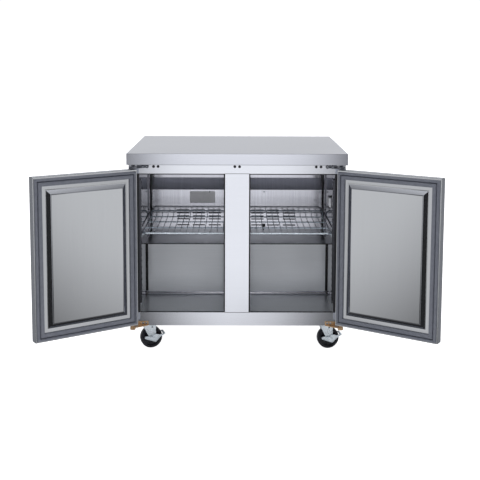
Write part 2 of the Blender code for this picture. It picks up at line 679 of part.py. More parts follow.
def hinge_arm(side):
    """Plan outline of a hinge arm: from the leaf on the rail out to a round eye on the pin."""
    eye = 0.011
    outline = [(side * LEAF_NEAR, -GAP), (side * LEAF_NEAR, LEAF_FACE), (side * (LEAF_NEAR + 0.004), -0.0100)]
    outline.append((side * (HINGE_X - 0.012), HINGE_Y - eye))
    for i in range(9):
        angle = -math.pi / 2 + math.pi * i / 8
        outline.append((side * (HINGE_X + eye * math.cos(angle)), HINGE_Y + eye * math.sin(angle)))
    outline.append((side * LEAF_FAR, -GAP))
    return outline


def make_hinges(side, word):
    """Top and bottom hinge brackets: a leaf on the rail, an arm and the fixed pin."""
    near = side * LEAF_NEAR
    far = side * LEAF_FAR
    pin_centre = (side * HINGE_X, HINGE_Y, 0.0)

    top_arm = 0.8100
    top = box(f"top_hinge_{word}", (near, LEAF_FACE, 0.8095), (far, -GAP, 0.8265), ZINC)
    arm = prism("arm", hinge_arm(side), top_arm, top_arm + HINGE_PLATE, ZINC, along="z")
    pin = disc("pin", PIN_RADIUS, DOOR_HIGH - 0.013, 0.8120, pin_centre, ZINC)
    head = disc("head", 0.0075, 0.8120, 0.8165, pin_centre, ZINC)
    hang(join(top, arm, pin, head), CABINET)

    bottom_arm = 0.1262
    bottom = box(f"bottom_hinge_{word}", (near, LEAF_FACE, bottom_arm), (far, -GAP, 0.1440), ZINC)
    arm = prism("arm", hinge_arm(side), bottom_arm, bottom_arm + HINGE_PLATE, ZINC, along="z")
    pin = disc("pin", PIN_RADIUS, 0.1280, DOOR_LOW + 0.013, pin_centre, ZINC)
    collar = disc("collar", 0.0080, 0.1280, 0.1375, pin_centre, ZINC)
    cap = disc("cap", 0.0120, 0.1180, 0.1270, pin_centre, ZINC)
    hang(join(bottom, arm, pin, collar, cap), CABINET)


# ---------------------------------------------------------------- casters
def caster_leg(sign):
    """One fork leg: leading edge raked, trailing edge upright, round at the axle."""
    top = 0.1075
    axle_z = WHEEL_RADIUS
    outline = [(-0.028, top), (0.029, top), (0.029, axle_z + 0.018)]
    for i in range(7):
        angle = math.radians(20 - i * 37)
        outline.append((TRAIL + 0.013 * math.cos(angle), axle_z + 0.013 * math.sin(angle)))
    return prism("leg", outline, sign * LEG_INNER, sign * LEG_OUTER, ZINC, along="y")


def make_caster(word, x, y, brake):
    """Plate on the cabinet, swivelling fork, wheel on its axle, and a brake pedal on the front pair."""
    axle_z = WHEEL_RADIUS
    plate = box(f"caster_{word}_plate", (-0.046, -0.036, CASTER_PLATE_LOW), (0.046, 0.036, CASTER_PLATE_HIGH), ZINC)
    rounded(plate, 0.0010, 1)
    race = lathe("race", [(0.0, 0.1120), (0.024, 0.1120), (0.029, 0.1150), (0.029, 0.1215), (0.0, 0.1215)],
                 (0, 0, 0), ZINC, segments=20)
    plate = join(plate, race)
    plate.data.transform(Matrix.Translation((x, y, 0.0)))
    hang(plate, CABINET)

    turn = math.radians(CASTER_TURNS[word])
    kingpin = holder(f"caster_{word}_kingpin", (x, y, 0.0), CABINET, turn)
    crown = [(0.0, 0.1045), (0.027, 0.1045), (0.030, 0.1070), (0.030, 0.1100), (0.0, 0.1117)]
    fork = lathe(f"caster_{word}_fork", crown, (0, 0, 0), ZINC, segments=20)
    axle_centre = (TRAIL, 0.0, axle_z)
    axle = disc("axle", AXLE_RADIUS, -0.0240, 0.0240, axle_centre, ZINC, axis="y", segments=16)
    heads = [disc("head", 0.0085, start, start + 0.0045, axle_centre, ZINC, axis="y", segments=6)
             for start in (-0.0285, 0.0240)]
    join(fork, caster_leg(-1), caster_leg(1), axle, *heads)
    hang(fork, kingpin)

    axle_pivot = holder(f"caster_{word}_axle", axle_centre, kingpin)
    half = WHEEL_HALF_WIDTH
    dish = 0.0100
    one_side = [(0.0056, half), (0.014, half), (0.033, dish), (0.037, half - 0.001), (0.0445, half),
                (WHEEL_RADIUS, dish)]
    profile = one_side + [(radius, -y) for radius, y in reversed(one_side)]
    wheel = lathe(f"caster_{word}_wheel", profile, (0, 0, 0), BLACK, axis="y", segments=28)
    wheel.parent = axle_pivot
    if not brake:
        return

    outline = [(-0.034, 0.004), (-0.028, 0.0095), (-0.010, 0.0065), (0.006, 0.010), (0.012, 0.016),
               (0.022, 0.0165), (0.034, 0.0120), (0.058, 0.0180), (0.058, 0.0140), (0.036, 0.0000),
               (0.016, -0.0190), (0.010, -0.0180), (-0.010, -0.0100), (-0.032, -0.0020)]
    pedal = prism(f"caster_{word}_pedal", outline, -0.0232, -0.0212, ZINC, along="y")
    far_plate = prism("far_plate", outline, 0.0212, 0.0232, ZINC, along="y")
    tread = [(0.0505, 0.0110), (0.058, 0.0140), (0.058, 0.0180), (0.0505, 0.0160)]
    foot = prism("foot", tread, -0.0225, 0.0225, ZINC, along="y")
    join(pedal, far_plate, foot)
    cut(pedal, disc("bore", AXLE_RADIUS + 0.0005, -0.03, 0.03, (0, 0, 0), ZINC, axis="y", segments=16))
    pedal_pivot = holder(f"caster_{word}_pedal_axis", axle_centre, kingpin)
    pedal.parent = pedal_pivot


# ---------------------------------------------------------------- assembly
make_worktop()
make_face_frame()
make_outer_sheets()
make_insulation()
make_liner()
make_evaporator()
make_condensing_unit()
make_rear_service()
for side, word in SIDES:
    make_side_panel(side, word)
    make_standard(side, f"{word}_front", 0.032, 0.215)
    make_standard(side, f"{word}_rear", 0.385, 0.430)
    make_shelf(side, word)
    make_door(side, word)
    make_hinges(side, word)
    make_caster(f"front_{word}", side * CASTER_X, CASTER_FRONT_Y, brake=True)
    make_caster(f"rear_{word}", side * CASTER_X, CASTER_REAR_Y, brake=False)

for obj in bpy.data.objects:
    if obj.type == "MESH":
        smooth(obj)
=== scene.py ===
"""Looks of the undercounter refrigerator: fine pieces, materials, light and camera."""
import json
import math

import bmesh
import bpy
from mathutils import Matrix, Vector


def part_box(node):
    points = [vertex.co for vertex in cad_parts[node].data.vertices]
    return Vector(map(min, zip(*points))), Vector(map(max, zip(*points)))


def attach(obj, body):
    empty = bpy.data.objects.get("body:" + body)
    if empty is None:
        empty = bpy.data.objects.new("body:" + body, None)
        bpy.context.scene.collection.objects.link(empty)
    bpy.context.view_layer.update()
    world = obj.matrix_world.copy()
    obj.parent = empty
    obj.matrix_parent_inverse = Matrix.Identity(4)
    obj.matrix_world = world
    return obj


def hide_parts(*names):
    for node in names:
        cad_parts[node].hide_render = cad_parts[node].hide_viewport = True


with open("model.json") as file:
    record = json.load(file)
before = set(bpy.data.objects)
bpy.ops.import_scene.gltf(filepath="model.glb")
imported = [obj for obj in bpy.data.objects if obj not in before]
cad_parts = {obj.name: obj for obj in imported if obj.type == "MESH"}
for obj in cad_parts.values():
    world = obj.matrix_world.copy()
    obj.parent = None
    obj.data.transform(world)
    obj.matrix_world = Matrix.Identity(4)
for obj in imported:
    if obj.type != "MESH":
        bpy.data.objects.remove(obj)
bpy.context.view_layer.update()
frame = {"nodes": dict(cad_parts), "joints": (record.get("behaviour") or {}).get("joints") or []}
nodes = frame["nodes"]
joints = {joint["name"]: joint for joint in frame["joints"]}

# ---------------------------------------------------------------- places read from the model
FACE_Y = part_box("top_rail")[0].y                  # front plane of the face frame
RAIL_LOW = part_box("top_rail")[0].z
RAIL_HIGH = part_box("top_rail")[1].z
COVER_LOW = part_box("evaporator_cover")[0]
BULKHEAD_LOW, BULKHEAD_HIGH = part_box("compressor_bulkhead")
LINER_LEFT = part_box("liner_left")[1].x            # inner faces of the side walls
LINER_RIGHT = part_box("liner_right")[0].x
FLOOR_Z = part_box("liner_floor")[1].z
REAR_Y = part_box("rear_grille")[1].y
SIDES = ((-1, "left"), (1, "right"))
STILE_EDGE = 0.4290
FACE_SCREW_Z = 0.8145                             # screws and plugs along the top rail

# closed-door sizes, in the cabinet's own coordinates (y = 0 on the face frame)
DOOR_OUTER_EDGE = 0.459
DOOR_INNER_EDGE = 0.0055
DOOR_LOW, DOOR_HIGH = (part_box("door_left_pan")[0].z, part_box("door_left_pan")[1].z)
DOOR_BACK = -0.012
GASKET_INSET = 0.0065
GASKET_WIDTH = 0.031
GASKET_FACE = -0.0015
PLUG_BORDER = 0.016
PLUG_BEVEL = 0.019
PLUG_RISE = 0.012


# ---------------------------------------------------------------- materials
def new_material(name):
    material = bpy.data.materials.new(name)
    material.use_nodes = True
    tree = material.node_tree
    return material, tree.nodes, tree.links, tree.nodes["Principled BSDF"]


def spaced_coordinates(nodes_, links, scale):
    """Object coordinates, which are metres in the model's frame, stretched by a scale per axis."""
    coordinates = nodes_.new("ShaderNodeTexCoord")
    mapping = nodes_.new("ShaderNodeMapping")
    mapping.inputs["Scale"].default_value = scale
    links.new(coordinates.outputs["Object"], mapping.inputs["Vector"])
    return mapping.outputs["Vector"]


def noise(nodes_, links, vector, scale, detail=3.0, rough=0.55):
    texture = nodes_.new("ShaderNodeTexNoise")
    texture.inputs["Scale"].default_value = scale
    texture.inputs["Detail"].default_value = detail
    texture.inputs["Roughness"].default_value = rough
    links.new(vector, texture.inputs["Vector"])
    return texture.outputs["Fac"]


def spread(nodes_, links, value, low, high):
    """Map a 0 to 1 pattern onto a range of values."""
    ranged = nodes_.new("ShaderNodeMapRange")
    ranged.inputs["From Min"].default_value = 0.3
    ranged.inputs["From Max"].default_value = 0.7
    ranged.inputs["To Min"].default_value = low
    ranged.inputs["To Max"].default_value = high
    links.new(value, ranged.inputs["Value"])
    return ranged.outputs["Result"]


def tint(nodes_, links, value, dark, light):
    """Mix two close colours by a pattern."""
    ramp = nodes_.new("ShaderNodeValToRGB")
    ramp.color_ramp.elements[0].position = 0.3
    ramp.color_ramp.elements[1].position = 0.7
    ramp.color_ramp.elements[0].color = (*dark, 1.0)
    ramp.color_ramp.elements[1].color = (*light, 1.0)
    links.new(value, ramp.inputs["Fac"])
    return ramp.outputs["Color"]


def bump(nodes_, links, shader, height, strength, distance):
    node = nodes_.new("ShaderNodeBump")
    node.inputs["Strength"].default_value = strength
    node.inputs["Distance"].default_value = distance
    links.new(height, node.inputs["Height"])
    links.new(node.outputs["Normal"], shader.inputs["Normal"])


def brushed_metal(name, dark, light, rough_low, rough_high, grain, strength=0.12):
    """Sheet metal with fine polishing lines. grain is the line density along x, y and z."""
    material, nodes_, links, shader = new_material(name)
    shader.inputs["Metallic"].default_value = 1.0
    lines = noise(nodes_, links, spaced_coordinates(nodes_, links, grain), 1.0, 4.0)
    clouds = noise(nodes_, links, spaced_coordinates(nodes_, links, (1, 1, 1)), 3.0, 2.0)
    links.new(tint(nodes_, links, lines, dark, light), shader.inputs["Base Color"])
    links.new(spread(nodes_, links, clouds, rough_low, rough_high), shader.inputs["Roughness"])
    bump(nodes_, links, shader, lines, strength, 0.0002)
    return material


def mottled(name, dark, light, rough_low, rough_high, scale,
            metallic=0.0, strength=0.2, distance=0.0002, coat=0.0):
    """A surface with fine grain: moulded plastic, rubber, paint, plating or foam."""
    material, nodes_, links, shader = new_material(name)
    shader.inputs["Metallic"].default_value = metallic
    shader.inputs["Coat Weight"].default_value = coat
    grain = noise(nodes_, links, spaced_coordinates(nodes_, links, (1, 1, 1)), scale, 3.0)
    wide = noise(nodes_, links, spaced_coordinates(nodes_, links, (1, 1, 1)), scale / 14, 2.0)
    links.new(tint(nodes_, links, wide, dark, light), shader.inputs["Base Color"])
    links.new(spread(nodes_, links, wide, rough_low, rough_high), shader.inputs["Roughness"])
    bump(nodes_, links, shader, grain, strength, distance)
    return material


def spangled(name, dark, light):
    """Galvanised sheet: flat crystals of slightly different tone."""
    material, nodes_, links, shader = new_material(name)
    shader.inputs["Metallic"].default_value = 1.0
    crystals = nodes_.new("ShaderNodeTexVoronoi")
    crystals.inputs["Scale"].default_value = 90.0
    links.new(spaced_coordinates(nodes_, links, (1, 1, 1)), crystals.inputs["Vector"])
    links.new(tint(nodes_, links, crystals.outputs["Color"], dark, light), shader.inputs["Base Color"])
    links.new(spread(nodes_, links, crystals.outputs["Color"], 0.36, 0.52), shader.inputs["Roughness"])
    return material


FRONT_STEEL = brushed_metal(
    "front_steel", (0.76, 0.77, 0.81), (0.80, 0.81, 0.85),
    0.08, 0.12, (2, 2, 900), 0.03,
)
TOP_STEEL = brushed_metal(
    "top_steel", (0.66, 0.67, 0.72), (0.70, 0.71, 0.76),
    0.10, 0.14, (3, 900, 900), 0.03,
)
DOOR_STEEL = brushed_metal(
    "door_steel", (0.50, 0.52, 0.56), (0.56, 0.58, 0.62),
    0.20, 0.26, (700, 700, 3), 0.05,
)
# polished steel drawn far darker than real steel: painted shade and dark reflection on the side walls and
# shelf standards
SHADED_POLISHED_STEEL = brushed_metal(
    "polished_steel_shaded", (0.19, 0.195, 0.22), (0.23, 0.235, 0.26),
    0.04, 0.07, (3, 3, 400), 0.02,
)
COVER_STEEL = brushed_metal(
    "cover_steel", (0.58, 0.58, 0.63), (0.70, 0.70, 0.75),
    0.12, 0.18, (500, 2, 2), 0.04,
)
INNER_SHEET = brushed_metal(
    "inner_sheet", (0.80, 0.82, 0.85), (0.84, 0.86, 0.89),
    0.34, 0.40, (6, 400, 400), 0.02,
)
LINER_SHEET = brushed_metal(
    "door_liner_sheet", (0.75, 0.76, 0.77), (0.77, 0.78, 0.79),
    0.13, 0.15, (300, 300, 4), 0.006,
)
# the same pressed sheet as the liner, in a darker copy for its bevel faces: painted shade
SHADED_LINER_BEVEL = brushed_metal(
    "door_liner_bevel_shade", (0.46, 0.47, 0.50), (0.52, 0.53, 0.56),
    0.06, 0.10, (300, 300, 4), 0.01,
)
GALVANISED = spangled("galvanised", (0.50, 0.52, 0.54), (0.58, 0.60, 0.62))
ZINC = mottled("zinc", (0.70, 0.76, 0.81), (0.82, 0.88, 0.93), 0.22, 0.34, 500, 0.45, 0.06)
HINGE_ZINC = mottled("hinge_zinc", (0.07, 0.075, 0.09), (0.24, 0.25, 0.28), 0.10, 0.18, 300, 1.0, 0.05)
GOLD_ZINC = mottled("gold_zinc", (0.62, 0.40, 0.22), (0.80, 0.56, 0.34), 0.16, 0.28, 260, 0.8, 0.05)
WIRE_COAT = mottled("wire_coat", (0.22, 0.26, 0.32), (0.30, 0.35, 0.42), 0.28, 0.38, 700, 0.25, 0.05)
# cross_wire and the front wire are lighter copies of wire_coat, the one coating on all shelf wires: painted
# light, strongest on the front wire
LIT_CROSS_WIRE = mottled("cross_wire", (0.44, 0.51, 0.59), (0.52, 0.59, 0.67), 0.28, 0.38, 700, 0.25, 0.05)
LIT_FRONT_WIRE = mottled(
    "lit_front_wire", (0.62, 0.70, 0.76), (0.74, 0.82, 0.88),
    0.22, 0.30, 700, 0.25, 0.05,
)
GASKET = mottled("gasket", (0.110, 0.118, 0.145), (0.135, 0.144, 0.172), 0.36, 0.46, 1200, 0.0, 0.03)
TYRE = mottled("tyre", (0.006, 0.006, 0.010), (0.014, 0.014, 0.020), 0.22, 0.36, 1500, 0.0, 0.08)
BLACK_PLASTIC = mottled(
    "black_plastic", (0.006, 0.006, 0.008), (0.012, 0.012, 0.015),
    0.34, 0.48, 1800, 0.0, 0.2,
)
BREAKER = mottled(
    "breaker_plastic", (0.010, 0.010, 0.013), (0.018, 0.018, 0.022),
    0.30, 0.42, 900, 0.0, 0.08,
)
BLACK_PAINT = mottled(
    "black_paint", (0.014, 0.014, 0.016), (0.028, 0.028, 0.031),
    0.25, 0.36, 500, 0.0, 0.12, coat=0.3,
)
FOAM = mottled("foam", (0.62, 0.52, 0.28), (0.76, 0.66, 0.40), 0.85, 0.95, 260, 0.0, 0.9, 0.002)
FIN_METAL = brushed_metal(
    "fin_metal", (0.52, 0.54, 0.56), (0.66, 0.68, 0.70),
    0.30, 0.42, (1200, 60, 60),
)
# the evaporator fins in near black, a darkened copy of fin_metal: painted shade, so that the slots in the
# cover read dark
SHADED_FINS = brushed_metal(
    "shaded_evaporator_fins", (0.030, 0.031, 0.034), (0.045, 0.046, 0.050),
    0.40, 0.55, (1200, 60, 60),
)
COPPER = mottled("copper", (0.58, 0.27, 0.15), (0.74, 0.38, 0.22), 0.22, 0.36, 160, 1.0, 0.1)
WHITE_PLASTIC = mottled(
    "white_plastic", (0.66, 0.67, 0.72), (0.76, 0.77, 0.82),
    0.32, 0.42, 900, 0.0, 0.06,
)
PLATE_GREY = mottled("plate_grey", (0.60, 0.60, 0.63), (0.66, 0.66, 0.69), 0.35, 0.45, 600, 0.1, 0.03)
SCREW_STEEL = mottled("screw_steel", (0.36, 0.38, 0.42), (0.56, 0.58, 0.62), 0.16, 0.28, 400, 1.0, 0.05)
# near black drawn only where shade falls: painted shadow rings, shadow lines at joints, shaded corners and
# the slots in the fork legs
SHADE_BLACK = mottled("painted_shade_black", (0.008, 0.008, 0.010), (0.016, 0.016, 0.019), 0.5, 0.6, 300)

NODE_FINISH = {
    "worktop": TOP_STEEL, "top_rail": FRONT_STEEL, "bottom_rail": FRONT_STEEL,
    "center_mullion": FRONT_STEEL,
    "side_panel_left": DOOR_STEEL, "side_panel_right": DOOR_STEEL, "rear_panel": GALVANISED,
    "base_pan": GALVANISED, "rear_grille": GALVANISED, "condensing_tray": GALVANISED,
    "condenser_fan": BLACK_PLASTIC,
    "insulation": FOAM, "worktop_core": FOAM, "door_left_core": FOAM, "door_right_core": FOAM,
    "liner_left": SHADED_POLISHED_STEEL, "liner_right": SHADED_POLISHED_STEEL, "liner_floor": INNER_SHEET,
    "liner_ceiling": INNER_SHEET, "liner_back": INNER_SHEET, "compressor_bulkhead": INNER_SHEET,
    "evaporator_cover": COVER_STEEL, "evaporator_coil": SHADED_FINS, "condenser_coil": FIN_METAL,
    "evaporator_motor": BLACK_PLASTIC, "condenser_motor": BLACK_PLASTIC, "evaporator_fan": BLACK_PLASTIC,
    "compressor": BLACK_PAINT, "control_box": BLACK_PLASTIC, "power_switch": BLACK_PLASTIC,
    "door_left_pan": DOOR_STEEL, "door_right_pan": DOOR_STEEL,
}
for name, obj in nodes.items():
    material = NODE_FINISH.get(name)
    # the shelf standards take the darkened side-wall steel: painted shade
    if material is None and name.startswith("shelf_standard"):
        material = SHADED_POLISHED_STEEL
    if material is None and name.startswith("bottom_hinge"):
        material = GOLD_ZINC
    if material is None:
        material = HINGE_ZINC if "hinge" in name else ZINC
    obj.data.materials.clear()
    obj.data.materials.append(material)


def soften(obj, width, segments=2):
    """Round the sharp edges a little, so that they catch the light."""
    bevel = obj.modifiers.new("soft_edges", "BEVEL")
    bevel.width = width
    bevel.segments = segments
    bevel.limit_method = "ANGLE"
    bevel.angle_limit = math.radians(40)


# ---------------------------------------------------------------- mesh builders
def piece(name, bm, material, body, sharp=35):
    """Finish a bmesh as a piece that rides on a body."""
    bmesh.ops.recalc_face_normals(bm, faces=bm.faces)
    mesh = bpy.data.meshes.new(name)
    bm.to_mesh(mesh)
    bm.free()
    mesh.materials.append(material)
    mesh.shade_smooth()
    mesh.set_sharp_from_angle(angle=math.radians(sharp))
    obj = bpy.data.objects.new(name, mesh)
    bpy.context.scene.collection.objects.link(obj)
    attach(obj, body)
    return obj


def add_block(bm, low, high, bevel=0.0, segments=2):
    """A block between two corners, with rounded edges."""
    low, high = zip(*(sorted(pair) for pair in zip(low, high)))
    size = [b - a for a, b in zip(low, high)]
    middle = [(a + b) / 2 for a, b in zip(low, high)]
    place = Matrix.Translation(middle) @ Matrix.Diagonal((*size, 1.0))
    made = bmesh.ops.create_cube(bm, size=1.0, matrix=place)
    if bevel:
        edges = list({edge for vert in made["verts"] for edge in vert.link_edges})
        bmesh.ops.bevel(bm, geom=edges, offset=bevel, segments=segments, affect="EDGES", profile=0.5)


def add_turned(bm, profile, matrix, segments=32):
    """Spin a closed (radius, height) profile about local z and place it."""
    verts = [bm.verts.new((radius, 0.0, height)) for radius, height in profile]
    edges = [bm.edges.new((verts[i], verts[(i + 1) % len(verts)])) for i in range(len(verts))]
    before = set(bm.verts)
    bmesh.ops.spin(bm, geom=verts + edges, cent=(0, 0, 0), axis=(0, 0, 1),
                   angle=2 * math.pi, steps=segments, use_merge=True)
    new = verts + [vert for vert in bm.verts if vert not in before]
    bmesh.ops.remove_doubles(bm, verts=new, dist=1e-6)
    new = [vert for vert in new if vert.is_valid]
    bmesh.ops.transform(bm, matrix=matrix, verts=new)


def add_ring_strip(bm, rings, closed=True):
    """Bridge a list of equal point rings. closed also joins the last ring to the first."""
    rows = [[bm.verts.new(point) for point in ring] for ring in rings]
    pairs = list(zip(rows, rows[1:]))
    if closed:
        pairs.append((rows[-1], rows[0]))
    for one, two in pairs:
        for i in range(len(one)):
            j = (i + 1) % len(one)
            bm.faces.new((one[i], one[j], two[j], two[i]))
    return rows


def add_capped_strip(bm, rings):
    """Bridge a list of equal point rings and close both ends."""
    rows = add_ring_strip(bm, rings, closed=False)
    bm.faces.new(rows[0])
    bm.faces.new(list(reversed(rows[-1])))


def add_mesh(bm, other):
    """Move another bmesh's faces into this one."""
    temp = bpy.data.meshes.new("temp")
    other.to_mesh(temp)
    other.free()
    bm.from_mesh(temp)
    bpy.data.meshes.remove(temp)


def add_tube(bm, points, radius, sides=10):
    """Round wire through the points, capped at both ends."""
    points = [Vector(point) for point in points]
    rings = []
    normal = None
    for i, point in enumerate(points):
        before = (point - points[i - 1]).normalized() if i else None
        after = (points[i + 1] - point).normalized() if i < len(points) - 1 else None
        along = (before or after) if not (before and after) else (before + after).normalized()
        if normal is None:
            helper = Vector((0, 0, 1)) if abs(along.z) < 0.9 else Vector((1, 0, 0))
            normal = along.cross(helper).normalized()
        normal = (normal - along * normal.dot(along)).normalized()
        across = along.cross(normal)
        stretch = 1.0
        if before and after:
            stretch = 1.0 / max(0.5, math.cos(before.angle(after) / 2))
        ring = []
        for k in range(sides):
            angle = 2 * math.pi * k / sides
            ring.append(point + (normal * math.cos(angle) + across * math.sin(angle)) * radius * stretch)
        rings.append(ring)
    add_capped_strip(bm, rings)


def arc(centre, radius, start, end, steps, u, v):
    """Points on an arc in the plane of u and v, angles in degrees."""
    points = []
    for i in range(steps + 1):
        angle = math.radians(start + (end - start) * i / steps)
        offset = Vector(u) * (radius * math.cos(angle))
        points.append(Vector(centre) + offset + Vector(v) * (radius * math.sin(angle)))
    return points


FACING_FRONT = Matrix.Rotation(math.pi / 2, 4, "X")     # local +z to -y
FACING_BACK = Matrix.Rotation(-math.pi / 2, 4, "X")     # local +z to +y


def add_screw(bm, place, matrix, radius=0.0045, height=0.0022):
    """Pan-head screw with a round recess, its head rising along local z."""
    recess = radius * 0.45
    rim = [(0.0, 0.0), (radius, 0.0), (radius, height * 0.35), (radius * 0.82, height * 0.8),
           (recess, height), (recess, height * 0.55), (0.0, height * 0.45)]
    add_turned(bm, rim, Matrix.Translation(place) @ matrix, 20)


# ---------------------------------------------------------------- doors
def door_matrix(word):
    """Turns a point from the closed door's place to its place at rest, standing open."""
    joint = joints[f"door_{word}_hinge"]
    pivot = Matrix.Translation(joint["pos_m"])
    angle = -math.radians(joint["range_deg"][1])
    return pivot @ Matrix.Rotation(angle, 4, Vector(joint["axis"])) @ pivot.inverted()


def gasket_section():
    """(inset, y) outline of the gasket: a rounded lip outside, a groove, and a broad magnet strip."""
    base = DOOR_BACK + 0.0006
    full = GASKET_FACE - base
    outline = [(0.0, base)]
    for start, width, foot, rise, steps in ((0.0, 0.0105, 0.25, 1.00, 8), (0.0140, 0.0160, 0.55, 0.84, 8)):
        for i in range(steps + 1):
            angle = math.pi * i / steps
            along = start + width * (1 - math.cos(angle)) / 2
            outline.append((along, base + full * (foot + (rise - foot) * math.sin(angle) ** 0.6)))
        outline.append((start + width + 0.0010, base + full * 0.16))
    outline.append((GASKET_WIDTH, base))
    return outline


def rectangle_ring(x0, x1, z0, z1, y):
    return [(x0, y, z0), (x1, y, z0), (x1, y, z1), (x0, y, z1)]


def make_door_pieces(side, word):
    """Ribbed gasket and pressed liner, drawn on the closed door and swung open with it."""
    opened = door_matrix(word) @ Matrix.Translation((0, FACE_Y, 0))
    body = f"door_{word}"
    x0, x1 = sorted((side * DOOR_OUTER_EDGE, side * DOOR_INNER_EDGE))

    bm = bmesh.new()
    rings = []
    for inset, y in gasket_section():
        offset = GASKET_INSET + inset
        rings.append(rectangle_ring(x0 + offset, x1 - offset, DOOR_LOW + offset, DOOR_HIGH - offset, y))
    add_ring_strip(bm, rings)
    bmesh.ops.transform(bm, matrix=opened, verts=bm.verts)
    gasket = piece(f"gasket_{word}", bm, GASKET, body, 50)
    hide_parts(f"door_{word}_gasket")

    bm = bmesh.new()
    rim = 0.0015
    plug = GASKET_INSET + GASKET_WIDTH + PLUG_BORDER
    crest = plug + PLUG_BEVEL
    slope = PLUG_RISE / PLUG_BEVEL
    turn = 0.0028
    steps = [(rim, DOOR_BACK - 0.0012), (rim, DOOR_BACK), (plug - 0.0030, DOOR_BACK),
             (plug - 0.0016, DOOR_BACK - 0.0005), (plug, DOOR_BACK),
             (plug + 0.0008, DOOR_BACK + 0.0008 * slope)]
    crest_steps = 5
    for i in range(crest_steps + 1):
        share = i / crest_steps
        inset = crest - turn + 2 * turn * share
        steps.append((inset, DOOR_BACK + PLUG_RISE - slope * turn * (1 - share) ** 2))
    rings = [rectangle_ring(x0 + d, x1 - d, DOOR_LOW + d, DOOR_HIGH - d, y) for d, y in steps]
    rows = add_ring_strip(bm, rings, closed=False)
    # the bevel faces take the darker copy of the liner sheet: painted shade
    bevel_start, bevel_end = 5, len(rows) - 3
    for face in bm.faces:
        low_row = min(next(k for k, row in enumerate(rows) if vert in row) for vert in face.verts)
        face.material_index = 1 if bevel_start <= low_row < bevel_end else 0
    bm.faces.new(rows[0])
    bm.faces.new(list(reversed(rows[-1])))
    bmesh.ops.transform(bm, matrix=opened, verts=bm.verts)
    liner = piece(f"liner_sheet_{word}", bm, LINER_SHEET, body, 25)
    liner.data.materials.append(SHADED_LINER_BEVEL)
    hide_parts(f"door_{word}_liner")


# ---------------------------------------------------------------- shelves
def make_shelf(side, word):
    """Welded wire shelf: cross wires below, front-to-back wires above, bent up at the back."""
    low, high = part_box(f"shelf_{word}")
    wire = 0.0015
    frame_wire = 0.0030
    cross_wire = 0.0030
    deck = low.z + 0.0018
    back = high.y - frame_wire
    front = low.y + frame_wire
    top = high.z - frame_wire
    x0, x1 = low.x + frame_wire, high.x - frame_wire
    corner = 0.014
    body = f"shelf_{word}"

    bm = bmesh.new()
    # rim: along the front, back along both sides, up at the rear corners and across the top of the upturn
    bend = 0.010
    path = [(x0 + corner, front, deck)]
    path += arc((x0 + corner, front + corner, deck), corner, -90, -180, 5, (1, 0, 0), (0, 1, 0))[1:]
    path += arc((x0, back - bend, deck + bend), bend, -90, 0, 5, (0, 1, 0), (0, 0, 1))
    path += arc((x0 + corner, back, top - corner), corner, 180, 90, 5, (1, 0, 0), (0, 0, 1))
    path += arc((x1 - corner, back, top - corner), corner, 90, 0, 5, (1, 0, 0), (0, 0, 1))
    path += arc((x1, back - bend, deck + bend), bend, 0, -90, 5, (0, 1, 0), (0, 0, 1))
    path += arc((x1 - corner, front + corner, deck), corner, 0, -90, 5, (1, 0, 0), (0, 1, 0))
    path.append((x0 + corner, front, deck))
    add_tube(bm, path, frame_wire, 12)

    pitch = 0.0262
    count = round((x1 - x0) / pitch)
    for i in range(1, count):
        x = x0 + (x1 - x0) * i / count
        line = [(x, front, deck + 0.0004)]
        line += arc((x, back - bend, deck + bend), bend - 0.0006, -90, 0, 4, (0, 1, 0), (0, 0, 1))
        line.append((x, back, top))
        add_tube(bm, line, wire, 8)
    grid = piece(f"shelf_wires_{word}", bm, WIRE_COAT, body, 60)
    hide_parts(f"shelf_{word}")

    # cross wires in a lighter copy of the wire coating: painted light
    bm = bmesh.new()
    for fraction in (0.333, 0.667, 0.985):
        y = front + (back - front) * fraction
        add_tube(bm, [(x0, y, deck - 0.0022), (x1, y, deck - 0.0022)], cross_wire, 10)
    piece(f"shelf_cross_wires_{word}", bm, LIT_CROSS_WIRE, body, 60)

    # front wire in the lightest copy of the wire coating: painted highlight
    bm = bmesh.new()
    nose = 0.0034
    ends = [(x, front - 0.0002, deck + 0.0002) for x in (x0 + corner, x1 - corner)]
    add_tube(bm, ends, nose, 14)
    piece(f"shelf_front_wire_{word}", bm, LIT_FRONT_WIRE, body, 60)

    bm = bmesh.new()
    for standard in ("front", "rear"):
        box_low, box_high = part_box(f"shelf_standard_{word}_{standard}")
        face = box_high.x if side < 0 else box_low.x
        middle = (box_low.y + box_high.y) / 2
        for z0, z1, reach in ((deck - 0.0075, deck - 0.0048, 0.011), (deck - 0.020, deck - 0.0048, 0.0018)):
            near = (face + side * -0.0004, middle - 0.007, z0)
            add_block(bm, near, (face - side * reach, middle + 0.007, z1), 0.0005, 1)
    piece(f"shelf_clips_{word}", bm, ZINC, body)


